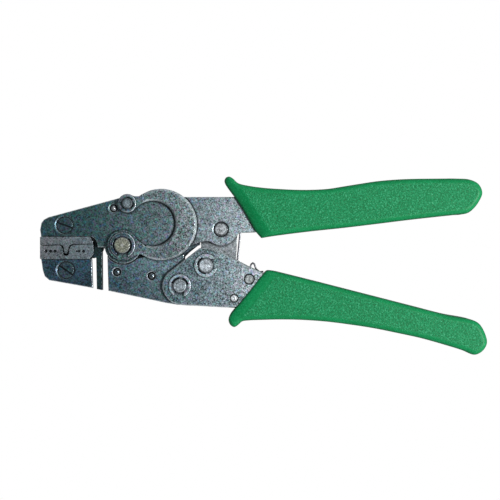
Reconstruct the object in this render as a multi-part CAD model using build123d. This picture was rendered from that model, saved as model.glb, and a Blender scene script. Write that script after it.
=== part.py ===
from build123d import *
import math
import os

# Hand-held ratchet crimping tool, lying flat. Millimetres.
# The main pivot is the Z axis; +X runs to the handles, +Y to the upper jaw, +Z out of the front face.
# The steelwork is a sandwich mirrored about its mid plane: a middle level, a first pair of plates
# and an outer pair. Heights are given from the mid plane unless said otherwise.

# ---- levels ----
GRIP_HALF = 9.6                  # half thickness of the grips
MID_HEIGHT = GRIP_HALF           # mid plane over the resting plane
MID_HALF = 2.5                   # half thickness of the middle level
UPPER_Z0, UPPER_Z1 = 2.6, 5.0    # first level plates of the upper frame
JAW_Z0, JAW_Z1 = MID_HALF, 4.9   # first level plates of the lower jaw
OUTER_Z0, OUTER_Z1 = UPPER_Z1, 7.3

# ---- pin places and radii ----
MAIN_AT, MAIN_R = (0.0, 0.0), 3.7
ANCHOR_AT, ANCHOR_R = (2.2, 19.6), 2.4      # anchor of the overload springs
JAW_AT, JAW_R = (26.9, -19.0), 3.1          # lower jaw to lower handle
TOGGLE_AT, TOGGLE_R = (39.1, -9.5), 3.3     # lower handle to toggle link
LINK_AT, LINK_R = (46.1, 7.5), 3.2          # toggle link to upper frame
POST_AT, POST_R = (59.4, -15.95), 2.2       # return spring post
PAWL_AT, PAWL_R = (52.3, -24.9), 1.8        # pawl rivet
UPPER_DOWEL = (-4.45, 17.44)
LOWER_DOWELS = [(-2.9, -12.61), (13.4, -14.45)]
DOWEL_R = 1.9
UPPER_RIVETS = [(92.0, 16.6), (136.0, 21.8)]
LOWER_RIVETS = [(84.0, -24.8), (128.0, -33.6)]
RIVET_R = 2.0

# ---- clearances ----
RUN = 0.05      # between moving parts
FIT = 0.02      # between parts seated in one body
OVER = 0.5      # how far a face cutter stands proud

# ---- die seats ----
UPPER_SCREW, LOWER_SCREW = (-27.53, 9.48), (-26.97, -11.72)
SCREW_R, HEAD_R = 2.0, 3.9
HEAD_BORE_R, HEAD_BORE_Z0 = HEAD_R + 0.15, 3.5
# shanks: left x, right x, y of the far end
UPPER_SHANK = (-33.0, -21.5, 11.6)
LOWER_SHANK = (-33.0, -20.9, -14.6)
SHANK_GAP = 0.05


# ---- helpers ----
def lift(z):
    """Height over the resting plane of a height from the mid plane."""
    return z + MID_HEIGHT


def slab(sketch, z0, z1):
    """Flat outline extruded between two heights."""
    return Pos(0, 0, lift(z0)) * extrude(sketch, z1 - z0)


def rod(centre, radius, z0, z1):
    return slab(Pos(*centre) * Circle(radius), z0, z1)


def poly(points):
    return make_face(Polyline(*points, close=True))


def rect(x0, x1, y0, y1):
    return poly([(x0, y0), (x1, y0), (x1, y1), (x0, y1)])


def polar(centre, radius, deg):
    angle = math.radians(deg)
    return (centre[0] + radius * math.cos(angle), centre[1] + radius * math.sin(angle))


def mirror_z(part):
    """The rear twin of a front piece."""
    return Pos(0, 0, MID_HEIGHT) * (mirror(Pos(0, 0, -MID_HEIGHT) * part, about=Plane.XY))


def holes(*seats):
    """Circles for (centre, radius) seats, opened by the seat clearance."""
    return [Pos(*centre) * Circle(radius + FIT) for centre, radius in seats]


def drill(part, *seats):
    """Cuts (centre, radius) seats through a front plate."""
    for centre, radius in seats:
        part -= rod(centre, radius + FIT, 0, 10)
    return part


def flare(centre, radius, z, width, gap=FIT):
    """Cutter for a 45 degree mouth round a hole, on a face at height z."""
    small = radius + gap
    cone = Pos(*centre, lift(z) - width / 2) * Cone(small, small + width, width)
    return cone + rod(centre, small + width, z, z + OVER)


def rim_cutter(centre, radius, z, width):
    """Cutter for a 45 degree bevel round a disc, on its face at height z."""
    cone = Pos(*centre, lift(z) - width / 2) * Cone(radius, radius - width, width)
    return rod(centre, radius + 2, z - width, z + OVER) - cone


def soften(part, z, sizes):
    """Chamfers the outline edges of a plate on its face at height z."""
    edges = part.edges().filter_by(
        lambda e: abs(e.bounding_box().min.Z - lift(z)) < 1e-4
        and abs(e.bounding_box().max.Z - lift(z)) < 1e-4
    )
    for size in sizes:
        for shortest in (0.0, 0.3, 1.2, 3.0):
            chosen = edges.filter_by(lambda e: e.length >= shortest)
            # a chamfer may fail at tight corners: then fewer edges, or a smaller size, are taken
            try:
                eased = chamfer(chosen, size)
            except Exception:
                continue
            if eased.is_valid and 0 < eased.volume < part.volume:
                return eased
    return part


def domed_rod(centre, radius, half):
    pin = rod(centre, radius, -half, half)
    return fillet(pin.edges().filter_by(GeomType.CIRCLE), radius * 0.94)


def chamfered_rod(centre, radius, half, ease):
    pin = rod(centre, radius, -half, half)
    return chamfer(pin.edges().filter_by(GeomType.CIRCLE), ease)


os.makedirs("parts", exist_ok=True)


def save(name, *parts):
    solids = [solid for part in parts for solid in part.solids()]
    shape = Compound(children=solids) if len(solids) > 1 else solids[0]
    export_step(shape, f"parts/{name}.step")


def save_pair(name, front):
    save(f"{name}_front", front)
    save(f"{name}_rear", mirror_z(front))


# ================= upper frame =================
EAR_R = 8.65     # ear of the upper plate round the main pivot
LOBE_R = 7.7     # lobe round the link pin

# upper plate outline, x and y: round the jaw, along the handle tang and back
UPPER_OUTLINE = [
    (-38.65, 4.0), (-39.1, 7.31), (-38.51, 10.47), (-37.33, 12.02), (-35.21, 13.2),
    (-1.81, 22.24), (0.9, 22.75), (66.0, 22.75), (110.0, 25.5), (152.0, 28.0), (154.0, 26.5),
    (154.0, 18.5), (152.0, 17.0), (110.0, 12.0), (75.0, 8.0), (62.16, 6.15), (55.2, 5.9),
    (54.3, 5.45), (53.4, 4.2), (52.0, 2.75), (46.1, 7.0), (42.9, 0.75), (41.7, 1.45),
    (40.3, 1.8), (38.6, 1.85), (36.7, 1.52), (32.0, -0.13), (29.6, 1.7), (25.0, 2.2),
    (20.0, 0.6), (15.0, -1.25), (11.0, -1.7), (8.2, -2.4), (0.0, 0.0), (-8.6, -0.98),
    (-12.03, -0.9), (-12.27, 1.05), (-13.1, 2.6), (-14.1, 3.6), (-15.57, 4.0),
]
upper_face = poly(UPPER_OUTLINE) + Pos(*MAIN_AT) * Circle(EAR_R) + Pos(*LINK_AT) * Circle(LOBE_R)
upper_face -= holes((MAIN_AT, MAIN_R), (ANCHOR_AT, ANCHOR_R), (LINK_AT, LINK_R))
upper_face -= holes((UPPER_DOWEL, DOWEL_R))
upper_face -= holes(*[(centre, RIVET_R) for centre in UPPER_RIVETS])
upper_face -= holes((UPPER_SCREW, SCREW_R))
upper_front = slab(upper_face, UPPER_Z0, UPPER_Z1)
save("upper_plate_rear", mirror_z(upper_front))

# only the front plate takes the die screw head and has eased edges
upper_front -= rod(UPPER_SCREW, HEAD_BORE_R, HEAD_BORE_Z0, 6)
upper_front -= [
    flare(LINK_AT, LINK_R, UPPER_Z1, 0.5),
    flare(UPPER_DOWEL, DOWEL_R, UPPER_Z1, 0.4),
    flare(UPPER_SCREW, HEAD_BORE_R, UPPER_Z1, 0.35),
]
save("upper_plate_front", soften(upper_front, UPPER_Z1, (0.3, 0.2)))


def shank_pocket(shank, mouth_y):
    """Opening for a die shank, from mouth_y to just past its far end."""
    x0, x1, end_y = shank
    return rect(x0 - SHANK_GAP, x1 + SHANK_GAP, mouth_y, end_y + math.copysign(SHANK_GAP, end_y))


# spacer in the upper jaw, hollowed for the lower jaw hub and the die shank
HUB_HOLLOW_R = 9.7
UPPER_SPACER_HALF = UPPER_Z0 - FIT
jaw_spacer = poly([
    (-36.6, 5.3), (-37.3, 8.5), (-36.4, 11.3), (-34.5, 12.5), (-1.5, 21.3), (7.5, 21.9),
    (8.0, 14.5), (3.0, 11.5), (-9.0, 6.0), (-16.0, 5.3),
])
jaw_spacer -= [Pos(*MAIN_AT) * Circle(HUB_HOLLOW_R)]
jaw_spacer -= holes((ANCHOR_AT, ANCHOR_R), (UPPER_DOWEL, DOWEL_R))
jaw_spacer -= shank_pocket(UPPER_SHANK, 0)
save("upper_jaw_spacer", slab(jaw_spacer, -UPPER_SPACER_HALF, UPPER_SPACER_HALF))

# spacer between the tangs of the upper plates
upper_spacer = poly([
    (60.0, 12.0), (60.0, 20.5), (110.0, 23.5), (150.0, 26.3), (150.0, 18.8), (110.0, 14.0),
    (80.0, 11.0),
])
upper_spacer -= holes(*[(centre, RIVET_R) for centre in UPPER_RIVETS])
save("upper_handle_spacer", slab(upper_spacer, -UPPER_SPACER_HALF, UPPER_SPACER_HALF))
save("upper_handle_rivets", *[rod(c, RIVET_R, -UPPER_Z1, UPPER_Z1) for c in UPPER_RIVETS])

save("upper_dowel", domed_rod(UPPER_DOWEL, DOWEL_R, 4.9))
save("link_pin", chamfered_rod(LINK_AT, LINK_R, 5.2, 0.3))

# ================= horseshoe overload springs =================
# open rings from the anchor pin round to the main pivot
DISC_AT, DISC_R = (18.04, 9.72), 16.8         # outside
HOLLOW_AT, HOLLOW_R = (14.1, 10.23), 10.67    # inside
BEVEL = 0.9

eyes = [Pos(*MAIN_AT) * Circle(7.05), Pos(*ANCHOR_AT) * Circle(4.45)]
spring_outer = Pos(*DISC_AT) * Circle(DISC_R) + eyes[0] + eyes[1]
spring_outer += poly([
    (0.0, 23.0), (9.5, 23.0), (14.0, 24.0), (14.0, 17.0), (6.5, 17.36), (3.6, 15.6), (0.2, 17.0),
])
spring_outer += poly([
    (5.3, 4.8), (13.0, -3.0), (18.0, -7.08), (12.08, -5.2), (9.74, -4.15), (6.9, -4.3),
    (2.32, -6.8), (0, 0),
])
spring_hollow = Pos(*HOLLOW_AT) * Circle(HOLLOW_R)
spring_hollow += poly([
    (-12.0, 15.0), (3.0, 15.3), (6.5, 17.3), (11.9, 20.0), (15.0, 10.0), (10.9, -0.75),
    (5.1, 5.05), (0.0, 7.3), (-12.0, 7.3),
])
spring_face = spring_outer - spring_hollow
spring_face = spring_face + eyes[0] + eyes[1]    # makes the eyes whole again
spring_face -= holes((MAIN_AT, MAIN_R), (ANCHOR_AT, ANCHOR_R))
spring_plate = slab(spring_face, OUTER_Z0, OUTER_Z1)

# both rims are bevelled on the bow only, not round the eyes
bow_side = slab(rect(9.5, 40.0, -12.0, 32.0), OUTER_Z1 - BEVEL, OUTER_Z1 + OVER)
outer_bevel = rim_cutter(DISC_AT, DISC_R, OUTER_Z1, BEVEL)
inner_bevel = flare(HOLLOW_AT, HOLLOW_R, OUTER_Z1, BEVEL, gap=0)
spring_plate = spring_plate - (outer_bevel & bow_side) - (inner_bevel & bow_side)
save_pair("spring_plate", spring_plate)

# ================= dies =================
DIE_LEFT, DIE_RIGHT, DIE_HALF = -39.1, -14.2, 5.2
CLOSE_DEG = 0.10375    # lower jaw swing from rest to dies shut
DIE_GAP = 0.02         # further drop of the lower die face
# ends of the straight parting line with the dies shut
SHUT_LINE = ((DIE_LEFT, -0.25), (DIE_RIGHT, 0.48))


def at_rest(point):
    """Carries a point of the shut parting line to the lower die's rest position."""
    x, y = point
    angle = math.radians(CLOSE_DEG)
    return (
        x * math.cos(angle) - y * math.sin(angle),
        x * math.sin(angle) + y * math.cos(angle) - DIE_GAP,
    )


REST_LINE = (at_rest(SHUT_LINE[0]), at_rest(SHUT_LINE[1]))


def line_y(line, x):
    (x0, y0), (x1, y1) = line
    return y0 + (y1 - y0) * (x - x0) / (x1 - x0)


def upper_y(x):
    return line_y(SHUT_LINE, x)


def lower_y(x):
    return line_y(REST_LINE, x)


# upper die: one punch tooth, a shallow front recess each side of it, and a shank
upper_die = slab(poly([
    SHUT_LINE[0], (-28.9, upper_y(-28.9)), (-28.35, -0.15), (-27.95, -1.1), (-27.72, -2.9),
    (-27.4, -3.8), (-26.35, -3.8), (-26.05, -2.9), (-25.75, -1.1), (-25.3, -0.1),
    (-24.6, upper_y(-24.6)), SHUT_LINE[1], (-14.3, 1.85), (-15.6, 3.97), (DIE_LEFT, 3.97),
]), -DIE_HALF, DIE_HALF)
for x0, x1 in ((-38.4, -29.3), (-24.3, -15.4)):
    recess = poly([
        (x0, upper_y(x0) - 0.5), (x1, upper_y(x1) - 0.5),
        (x1, upper_y(x1) + 0.38), (x0, upper_y(x0) + 0.38),
    ])
    upper_die -= slab(recess, DIE_HALF - 0.7, DIE_HALF + 1)
shank_x0, shank_x1, shank_end = UPPER_SHANK
upper_shank = slab(rect(shank_x0, shank_x1, 3.7, shank_end), -2.5, 2.5)
upper_die = upper_die + upper_shank - rod(UPPER_SCREW, SCREW_R + FIT, -6, 6)
save("upper_die", upper_die)

# lower die: one nest under the punch tooth, and a shank
lower_die = slab(poly([
    (DIE_LEFT, lower_y(DIE_LEFT)), (DIE_LEFT, -6.45), (-15.9, -6.45), (-14.0, -4.05),
    (DIE_RIGHT + 0.05, lower_y(DIE_RIGHT)), (-23.0, lower_y(-23.0)), (-24.5, -0.35),
    (-25.3, -1.9), (-25.6, -4.3), (-26.2, -4.95), (-27.5, -4.95), (-28.15, -4.3), (-28.4, -1.9),
    (-28.9, -0.7), (-30.0, lower_y(-30.0)),
]), -DIE_HALF, DIE_HALF)
shank_x0, shank_x1, shank_end = LOWER_SHANK
lower_die += slab(rect(shank_x0, shank_x1, -6.3, shank_end), -2.45, 2.45)
lower_die -= rod(LOWER_SCREW, SCREW_R + FIT, -6, 6)
# the right end straddles the neck of the jaw core
lower_die -= slab(rect(-17.4, -13.0, -7.0, -1.5), -MID_HALF - FIT, MID_HALF + FIT)
# index marks beside the nest: dots to the left, a bar and a dot to the right
MARK_Y = -2.8
for x in (-36.3, -34.2, -32.1, -18.6):
    lower_die -= rod((x, MARK_Y), 0.75, DIE_HALF - 0.9, DIE_HALF + 1)
lower_die -= Pos(-21.2, MARK_Y, lift(DIE_HALF)) * Box(2.2, 0.9, 1.8)

# thin stop plate behind the dies, pinned to the lower one
STOP_PINS = [(-36.5, -4.9), (-18.5, -4.9)]
STOP_PIN_R, STOP_HEAD_R = 0.8, 1.3
STOP_Z0, STOP_Z1 = -6.1, -5.3
STOP_HEAD_Z = STOP_Z0 - 0.3
stop_face = poly([
    (-38.7, -6.2), (-38.7, 2.6), (-37.7, 3.6), (-14.6, 3.6), (-13.2, 2.4), (-12.7, 0.5),
    (-12.7, -4.6), (-14.6, -6.2),
])
stop_face -= holes(*[(centre, STOP_PIN_R) for centre in STOP_PINS])
save("terminal_stop", slab(stop_face, STOP_Z0, STOP_Z1))
for centre in STOP_PINS:
    lower_die -= rod(centre, STOP_PIN_R + FIT, -DIE_HALF - 1, -2.0)
save("lower_die", lower_die)
save("stop_pins", *[
    rod(c, STOP_PIN_R, STOP_HEAD_Z, -2.05) + rod(c, STOP_HEAD_R, STOP_HEAD_Z, STOP_Z0 - FIT)
    for c in STOP_PINS
])


def slotted_screw(centre, slot_deg):
    head = rod(centre, HEAD_R, 3.55, 4.95)
    top_edge = head.edges().filter_by(GeomType.CIRCLE).sort_by(Axis.Z)[-1]
    screw = chamfer(top_edge, 0.4) + rod(centre, SCREW_R, -4.9, 3.6)
    return screw - Pos(*centre, lift(4.6)) * Rot(0, 0, slot_deg) * Box(9, 0.8, 0.9)


save("upper_die_screw", slotted_screw(UPPER_SCREW, -20))
save("lower_die_screw", slotted_screw(LOWER_SCREW, -35))

# ================= grooved pins and their retaining rings =================
GROOVE_Z0 = OUTER_Z1 + RUN    # near side of each ring groove


def grooved_pin(centre, radius, half, groove_r, groove_z1, ease):
    """Round pin with a ring groove near each end."""
    pin = rod(centre, radius, -half, half)
    for z0, z1 in ((GROOVE_Z0, groove_z1), (-groove_z1, -GROOVE_Z0)):
        pin -= rod(centre, radius + 1, z0, z1) - rod(centre, groove_r, z0 - 1, z1 + 1)
    ends = pin.edges().filter_by(GeomType.CIRCLE).filter_by(
        lambda e: abs(e.center().Z - lift(half)) < 1e-4 or abs(e.center().Z - lift(-half)) < 1e-4
    )
    return chamfer(ends, ease)


def e_ring(centre, ring_r, groove_r, groove_z1, open_deg, reliefs):
    """Front retaining ring; reliefs are (start, span) in degrees from its open side."""
    z0, z1 = GROOVE_Z0 + FIT, groove_z1 - FIT
    face = Circle(ring_r) - Circle(groove_r + FIT)
    for start, span in reliefs:
        steps = [start + span * k / 12.0 for k in range(13)]
        face -= poly(
            [polar((0, 0), ring_r * 0.77, deg) for deg in steps]
            + [polar((0, 0), groove_r * 0.8, deg) for deg in reversed(steps)]
        )
    face -= Pos(ring_r, 0) * Rectangle(ring_r * 1.4, groove_r * 1.8)
    # slivers left by the cuts are dropped
    body = Sketch() + [f for f in face.faces() if f.area > 1.5]
    ring = slab(body, z0, z1) - rim_cutter((0, 0), ring_r, z1, 0.28)
    return Pos(*centre) * Rot(0, 0, open_deg) * ring


WIDE_RELIEFS = ((36, 104), (220, 104))
RELIEFS = ((102, 66), (192, 66))
# pin name, ring name, centre, radius, half length, groove radius, groove far side, end chamfer,
# ring radius, direction of the ring opening in degrees, ring reliefs
GROOVED_PINS = [
    ("main_pivot_pin", "main_pivot_e_rings", MAIN_AT, MAIN_R, GRIP_HALF, 3.0, 8.4, 0.3,
     5.95, -90, WIDE_RELIEFS),
    ("spring_anchor_pin", "spring_anchor_e_rings", ANCHOR_AT, ANCHOR_R, 8.9, 1.9, 8.1, 0.35,
     4.2, 200, RELIEFS),
    ("jaw_pin", "jaw_pin_e_rings", JAW_AT, JAW_R, 9.2, 2.5, 8.3, 0.35, 5.3, -95, RELIEFS),
    ("toggle_pin", "toggle_e_rings", TOGGLE_AT, TOGGLE_R, 9.2, 2.7, 8.3, 0.35, 5.45, 12, RELIEFS),
]
for (pin_name, ring_name, centre, radius, half, groove_r, groove_z1, ease,
     ring_r, open_deg, reliefs) in GROOVED_PINS:
    save(pin_name, grooved_pin(centre, radius, half, groove_r, groove_z1, ease))
    ring = e_ring(centre, ring_r, groove_r, groove_z1, open_deg, reliefs)
    save(ring_name, ring, mirror_z(ring))

# ================= lower jaw =================
EAR_GAP_R = 9.0    # hollow in the plates, and hub of the core, round the main pivot


def play_hole():
    """Oversize slot, long across the line to the main pivot, that lets the jaw pin float."""
    radius = JAW_R + 0.22
    reach = math.hypot(*JAW_AT)
    along = (-JAW_AT[1] / reach, JAW_AT[0] / reach)
    ax, ay = (JAW_AT[0] + along[0] * 0.10, JAW_AT[1] + along[1] * 0.10)
    bx, by = (JAW_AT[0] - along[0] * 0.34, JAW_AT[1] - along[1] * 0.34)
    dx, dy = (-along[1] * radius, along[0] * radius)
    slot = Pos(ax, ay) * Circle(radius) + Pos(bx, by) * Circle(radius)
    slot += poly([
        (ax + dx, ay + dy), (bx + dx, by + dy), (bx - dx, by - dy), (ax - dx, ay - dy),
    ])
    return slot


# side plates, right of the gap behind the tip
jaw_face = poly([
    (-7.45, -4.6), (-6.95, -21.45), (8.0, -24.6), (20.2, -27.2), (26.0, -28.1), (31.3, -26.3),
    (34.3, -21.2), (33.0, -13.6), (28.9, -7.8), (28.75, -4.15), (20.0, -3.9), (12.7, -4.7),
    (8.0, -5.9), (5.5, -6.6), (2.1, -8.0),
])
jaw_face -= Pos(*MAIN_AT) * Circle(EAR_GAP_R)
jaw_plate = soften(slab(jaw_face, JAW_Z0, JAW_Z1), JAW_Z1, (0.35, 0.3, 0.2))
jaw_plate -= slab(play_hole(), 0, 8)
jaw_plate = drill(jaw_plate, *[(centre, DOWEL_R) for centre in LOWER_DOWELS])
jaw_plate -= [flare(centre, DOWEL_R, JAW_Z1, 0.4) for centre in LOWER_DOWELS]
save_pair("lower_jaw_plate", jaw_plate)

# tip plates: the rear one is trimmed at its right end, the front one takes the screw head
tip_face = poly([
    (-38.65, -6.47), (-37.85, -11.81), (-36.9, -14.64), (-34.74, -16.5), (-14.3, -20.15),
    (-14.75, -6.47),
])
tip_face -= holes((LOWER_SCREW, SCREW_R))
tip_front = slab(tip_face, JAW_Z0, JAW_Z1)
tip_trim = slab(poly([(-15.9, -5.5), (-15.5, -22.0), (-13.0, -22.0), (-13.0, -5.5)]), 0, 6)
save("tip_plate_rear", mirror_z(tip_front - tip_trim))
tip_front -= rod(LOWER_SCREW, HEAD_BORE_R, HEAD_BORE_Z0, 6)
tip_front -= flare(LOWER_SCREW, HEAD_BORE_R, JAW_Z1, 0.35)
save("tip_plate_front", soften(tip_front, JAW_Z1, (0.3, 0.2)))

# core: tip lobe, neck, hanging finger, hub and tail in one middle level piece
core = poly([
    (-38.3, -6.5), (-37.6, -11.7), (-36.7, -14.4), (-34.6, -16.2), (-15.1, -19.8), (-15.4, -6.5),
])
core -= shank_pocket(LOWER_SHANK, -5)
# neck and finger
core += poly([
    (-17.3, -6.7), (-17.3, -1.6), (-13.75, -1.6), (-13.7, 3.2), (-12.6, 4.2), (-6.0, 4.4),
    (-5.0, -1.2), (-9.45, -1.2), (-10.3, -3.2), (-10.2, -21.2), (-12.65, -20.75),
    (-12.95, -5.95), (-15.4, -5.95), (-15.4, -6.7),
])
# tail
core += poly([
    (-7.35, -5.2), (-6.95, -21.3), (8.0, -24.4), (20.2, -27.0), (26.0, -27.9), (31.2, -26.1),
    (34.1, -21.2), (32.8, -13.7), (28.7, -8.0), (29.0, -5.4), (31.4, -3.1), (34.9, -0.3),
    (36.05, 0.1), (36.1, 1.9), (35.4, 2.4), (32.0, 0.9), (29.0, -1.0), (26.0, -2.4),
    (20.0, -2.8), (12.7, -3.2), (8.0, -3.0), (0.0, 0.0), (-5.0, 0.0),
])
core += Pos(*MAIN_AT) * Circle(EAR_GAP_R)
core -= [Pos(*MAIN_AT) * Circle(MAIN_R + RUN), play_hole()]
core -= holes(*[(centre, DOWEL_R) for centre in LOWER_DOWELS])
save("lower_jaw_core", slab(core, -MID_HALF, MID_HALF))
save("lower_jaw_dowels", *[domed_rod(centre, DOWEL_R, 4.7) for centre in LOWER_DOWELS])

# ================= toggle link with the ratchet teeth =================
TOOTH_TIP_R, TOOTH_ROOT_R = 13.5, 12.4
TOOTH_START, TOOTH_PITCH, TOOTH_COUNT = -88.0, 5.0, 9    # degrees round the toggle pin


def on_toggle(radius, deg):
    return polar(TOGGLE_AT, radius, deg)


link_face = poly([
    (36.65, 3.0), (36.6, -2.0), (34.4, -5.5), (33.3, -9.5), (34.2, -13.2), (37.0, -16.5),
    on_toggle(TOOTH_ROOT_R, -90.0), TOGGLE_AT, on_toggle(TOOTH_ROOT_R, -41.0), (50.6, -16.0),
    (53.2, -7.0), (53.7, 4.7), (51.5, 9.5), (46.0, 12.5), (40.5, 9.5),
])
link_face += Pos(*TOGGLE_AT) * Circle(5.9)
link_face += Pos(*LINK_AT) * Circle(6.6)
link_face += poly([TOGGLE_AT] + [on_toggle(TOOTH_ROOT_R, deg) for deg in range(-91, -39, 2)])
for k in range(TOOTH_COUNT):
    start = TOOTH_START + k * TOOTH_PITCH
    link_face += poly([
        on_toggle(TOOTH_ROOT_R - 0.6, start - 0.4),
        on_toggle(TOOTH_ROOT_R, start),
        on_toggle(TOOTH_TIP_R, start + TOOTH_PITCH * 0.42),
        on_toggle(TOOTH_TIP_R, start + TOOTH_PITCH * 0.55),
        on_toggle(TOOTH_ROOT_R, start + TOOTH_PITCH * 0.97),
        on_toggle(TOOTH_ROOT_R - 0.6, start + TOOTH_PITCH + 0.4),
    ])
link_face -= [Pos(*TOGGLE_AT) * Circle(TOGGLE_R + RUN), Pos(*LINK_AT) * Circle(LINK_R + RUN)]
save("toggle_link", slab(link_face, -MID_HALF, MID_HALF))

washer = slab(Pos(*TOGGLE_AT) * (Circle(5.6) - Circle(TOGGLE_R + FIT)), 2.6, 4.95)
save("link_washers", washer, mirror_z(washer))

# ================= lower handle =================
# handle plate outline, x and y: along the upper edge to the tang end and back below
HANDLE_OUTLINE = [
    (21.6, -12.7), (35.3, -1.95), (36.2, -1.35), (37.6, -1.1), (40.6, -1.1), (46.19, -3.19),
    (53.84, -7.13), (59.24, -9.99), (64.6, -12.35), (70.0, -15.9), (76.4, -17.1),
    (106.8, -24.6), (137.2, -32.4), (151.0, -36.0), (152.5, -38.0), (151.0, -43.4),
    (129.6, -38.2), (106.8, -34.2), (83.5, -31.9), (66.0, -31.2), (53.47, -29.46),
    (45.7, -29.1), (37.3, -28.6), (30.0, -28.3), (26.0, -27.95), (23.0, -26.9), (21.0, -25.0),
]
handle_face = poly(HANDLE_OUTLINE) + Pos(*JAW_AT) * Circle(8.25)
handle_plate = soften(slab(handle_face, OUTER_Z0, OUTER_Z1), OUTER_Z1, (0.6, 0.5, 0.4, 0.35))
handle_plate = drill(
    handle_plate,
    (JAW_AT, JAW_R), (TOGGLE_AT, TOGGLE_R), (POST_AT, POST_R), (PAWL_AT, PAWL_R),
    *[(centre, RIVET_R) for centre in LOWER_RIVETS],
)
handle_plate -= [
    flare(POST_AT, POST_R, OUTER_Z1, 0.45),
    flare(PAWL_AT, PAWL_R, OUTER_Z1, 0.4),
]
save_pair("handle_plate", handle_plate)

handle_spacer = poly([
    (74.0, -19.5), (106.8, -26.5), (137.0, -34.0), (149.0, -37.0), (149.0, -41.5),
    (129.0, -36.6), (106.8, -32.5), (84.0, -30.2), (74.0, -30.0),
])
handle_spacer -= holes(*[(centre, RIVET_R) for centre in LOWER_RIVETS])
save("handle_spacer", slab(handle_spacer, -OUTER_Z0 + FIT, OUTER_Z0 - FIT))
save("handle_rivets", *[rod(c, RIVET_R, FIT - OUTER_Z1, OUTER_Z1 - FIT) for c in LOWER_RIVETS])
save("spring_post", chamfered_rod(POST_AT, POST_R, 7.4, 0.25))
save("pawl_rivet", chamfered_rod(PAWL_AT, PAWL_R, 7.4, 0.25))


# ================= wire springs =================
def wire(points, radius):
    """Bent round wire through a list of points."""
    bent = None
    for start, end in zip(points[:-1], points[1:]):
        origin = Vector(*start)
        run = Vector(*end) - origin
        length = run.length
        leg = Plane(origin=origin, z_dir=run) * Pos(0, 0, length / 2) * Cylinder(radius, length)
        bent = leg if bent is None else bent + leg
    for point in points[1:-1]:
        bent += Pos(*point) * Sphere(radius)
    return bent


def coil(centre, radius, wire_r, z0, z1, turns, start_deg, end_deg):
    """Coil swept as one wire; returns the solid and its two end points."""
    count = int(turns * 24)
    total = turns * 360.0 + (end_deg - start_deg)
    points = []
    for k in range(count + 1):
        t = k / count
        points.append((*polar(centre, radius, start_deg + total * t), z0 + (z1 - z0) * t))
    path = Spline(*points)
    section = Plane(origin=path @ 0, z_dir=path % 0) * Circle(wire_r)
    return sweep(section, path=path, is_frenet=False), points[0], points[-1]


# return spring: coil on the post, a straight arm at mid level and a bent leg towards the rear
WIRE_R = 0.42
LEG_Z = -3.8
body, low, high = coil(POST_AT, POST_R + WIRE_R + 0.35, WIRE_R, LEG_Z, 0.0, 4, 60, 180)
arm = wire([
    high, (high[0] - 0.3, high[1] + 2.2, 0.0), (53.85, -7.0, 0.0), (55.25, 7.2, 0.0),
], WIRE_R)
leg = wire([
    low, (low[0] - 1.2, low[1] + 2.3, LEG_Z), (60.4, -9.0, LEG_Z), (61.2, -8.45, LEG_Z),
    (61.9, -9.0, LEG_Z), (62.6, -11.2, LEG_Z), (64.4, -12.75, LEG_Z), (66.2, -12.55, LEG_Z),
], WIRE_R)
spring = body + arm + leg + Pos(*low) * Sphere(WIRE_R) + Pos(*high) * Sphere(WIRE_R)
save("return_spring", Pos(0, 0, MID_HEIGHT) * spring)

# ratchet pawl, pointing from its rivet at the toggle pin and stopping short of the teeth
PAWL_HUB_R = 3.3
to_toggle = (TOGGLE_AT[0] - PAWL_AT[0], TOGGLE_AT[1] - PAWL_AT[1])
tip_len = math.hypot(*to_toggle) - TOOTH_TIP_R - 0.18
heading = math.degrees(math.atan2(to_toggle[1], to_toggle[0]))
# radius from the rivet, degrees from the heading
PAWL_NOSE = [
    (PAWL_HUB_R, 70), (tip_len - 0.6, 7), (tip_len, 1.5),
    (tip_len, -1.5), (tip_len - 0.6, -7), (PAWL_HUB_R, -70),
]
pawl_face = Pos(*PAWL_AT) * Circle(PAWL_HUB_R)
pawl_face += poly([polar(PAWL_AT, radius, heading + turn) for radius, turn in PAWL_NOSE])
pawl_face -= Pos(*PAWL_AT) * Circle(PAWL_R + RUN)
save("ratchet_pawl", slab(pawl_face, -2.3, 2.3))

# pawl spring: coil in front of the pawl with one arm
PAWL_WIRE_R = 0.25
ARM_Z = 4.6
body, low, high = coil(PAWL_AT, PAWL_R + 0.65, PAWL_WIRE_R, 2.75, ARM_Z, 3, 0, 150)
spring = body + wire([high, (*polar(PAWL_AT, 5.2, heading + 12), ARM_Z)], PAWL_WIRE_R)
spring = spring + Pos(*high) * Sphere(PAWL_WIRE_R) + Pos(*low) * Sphere(PAWL_WIRE_R)
save("pawl_spring", Pos(0, 0, MID_HEIGHT) * spring)

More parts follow.
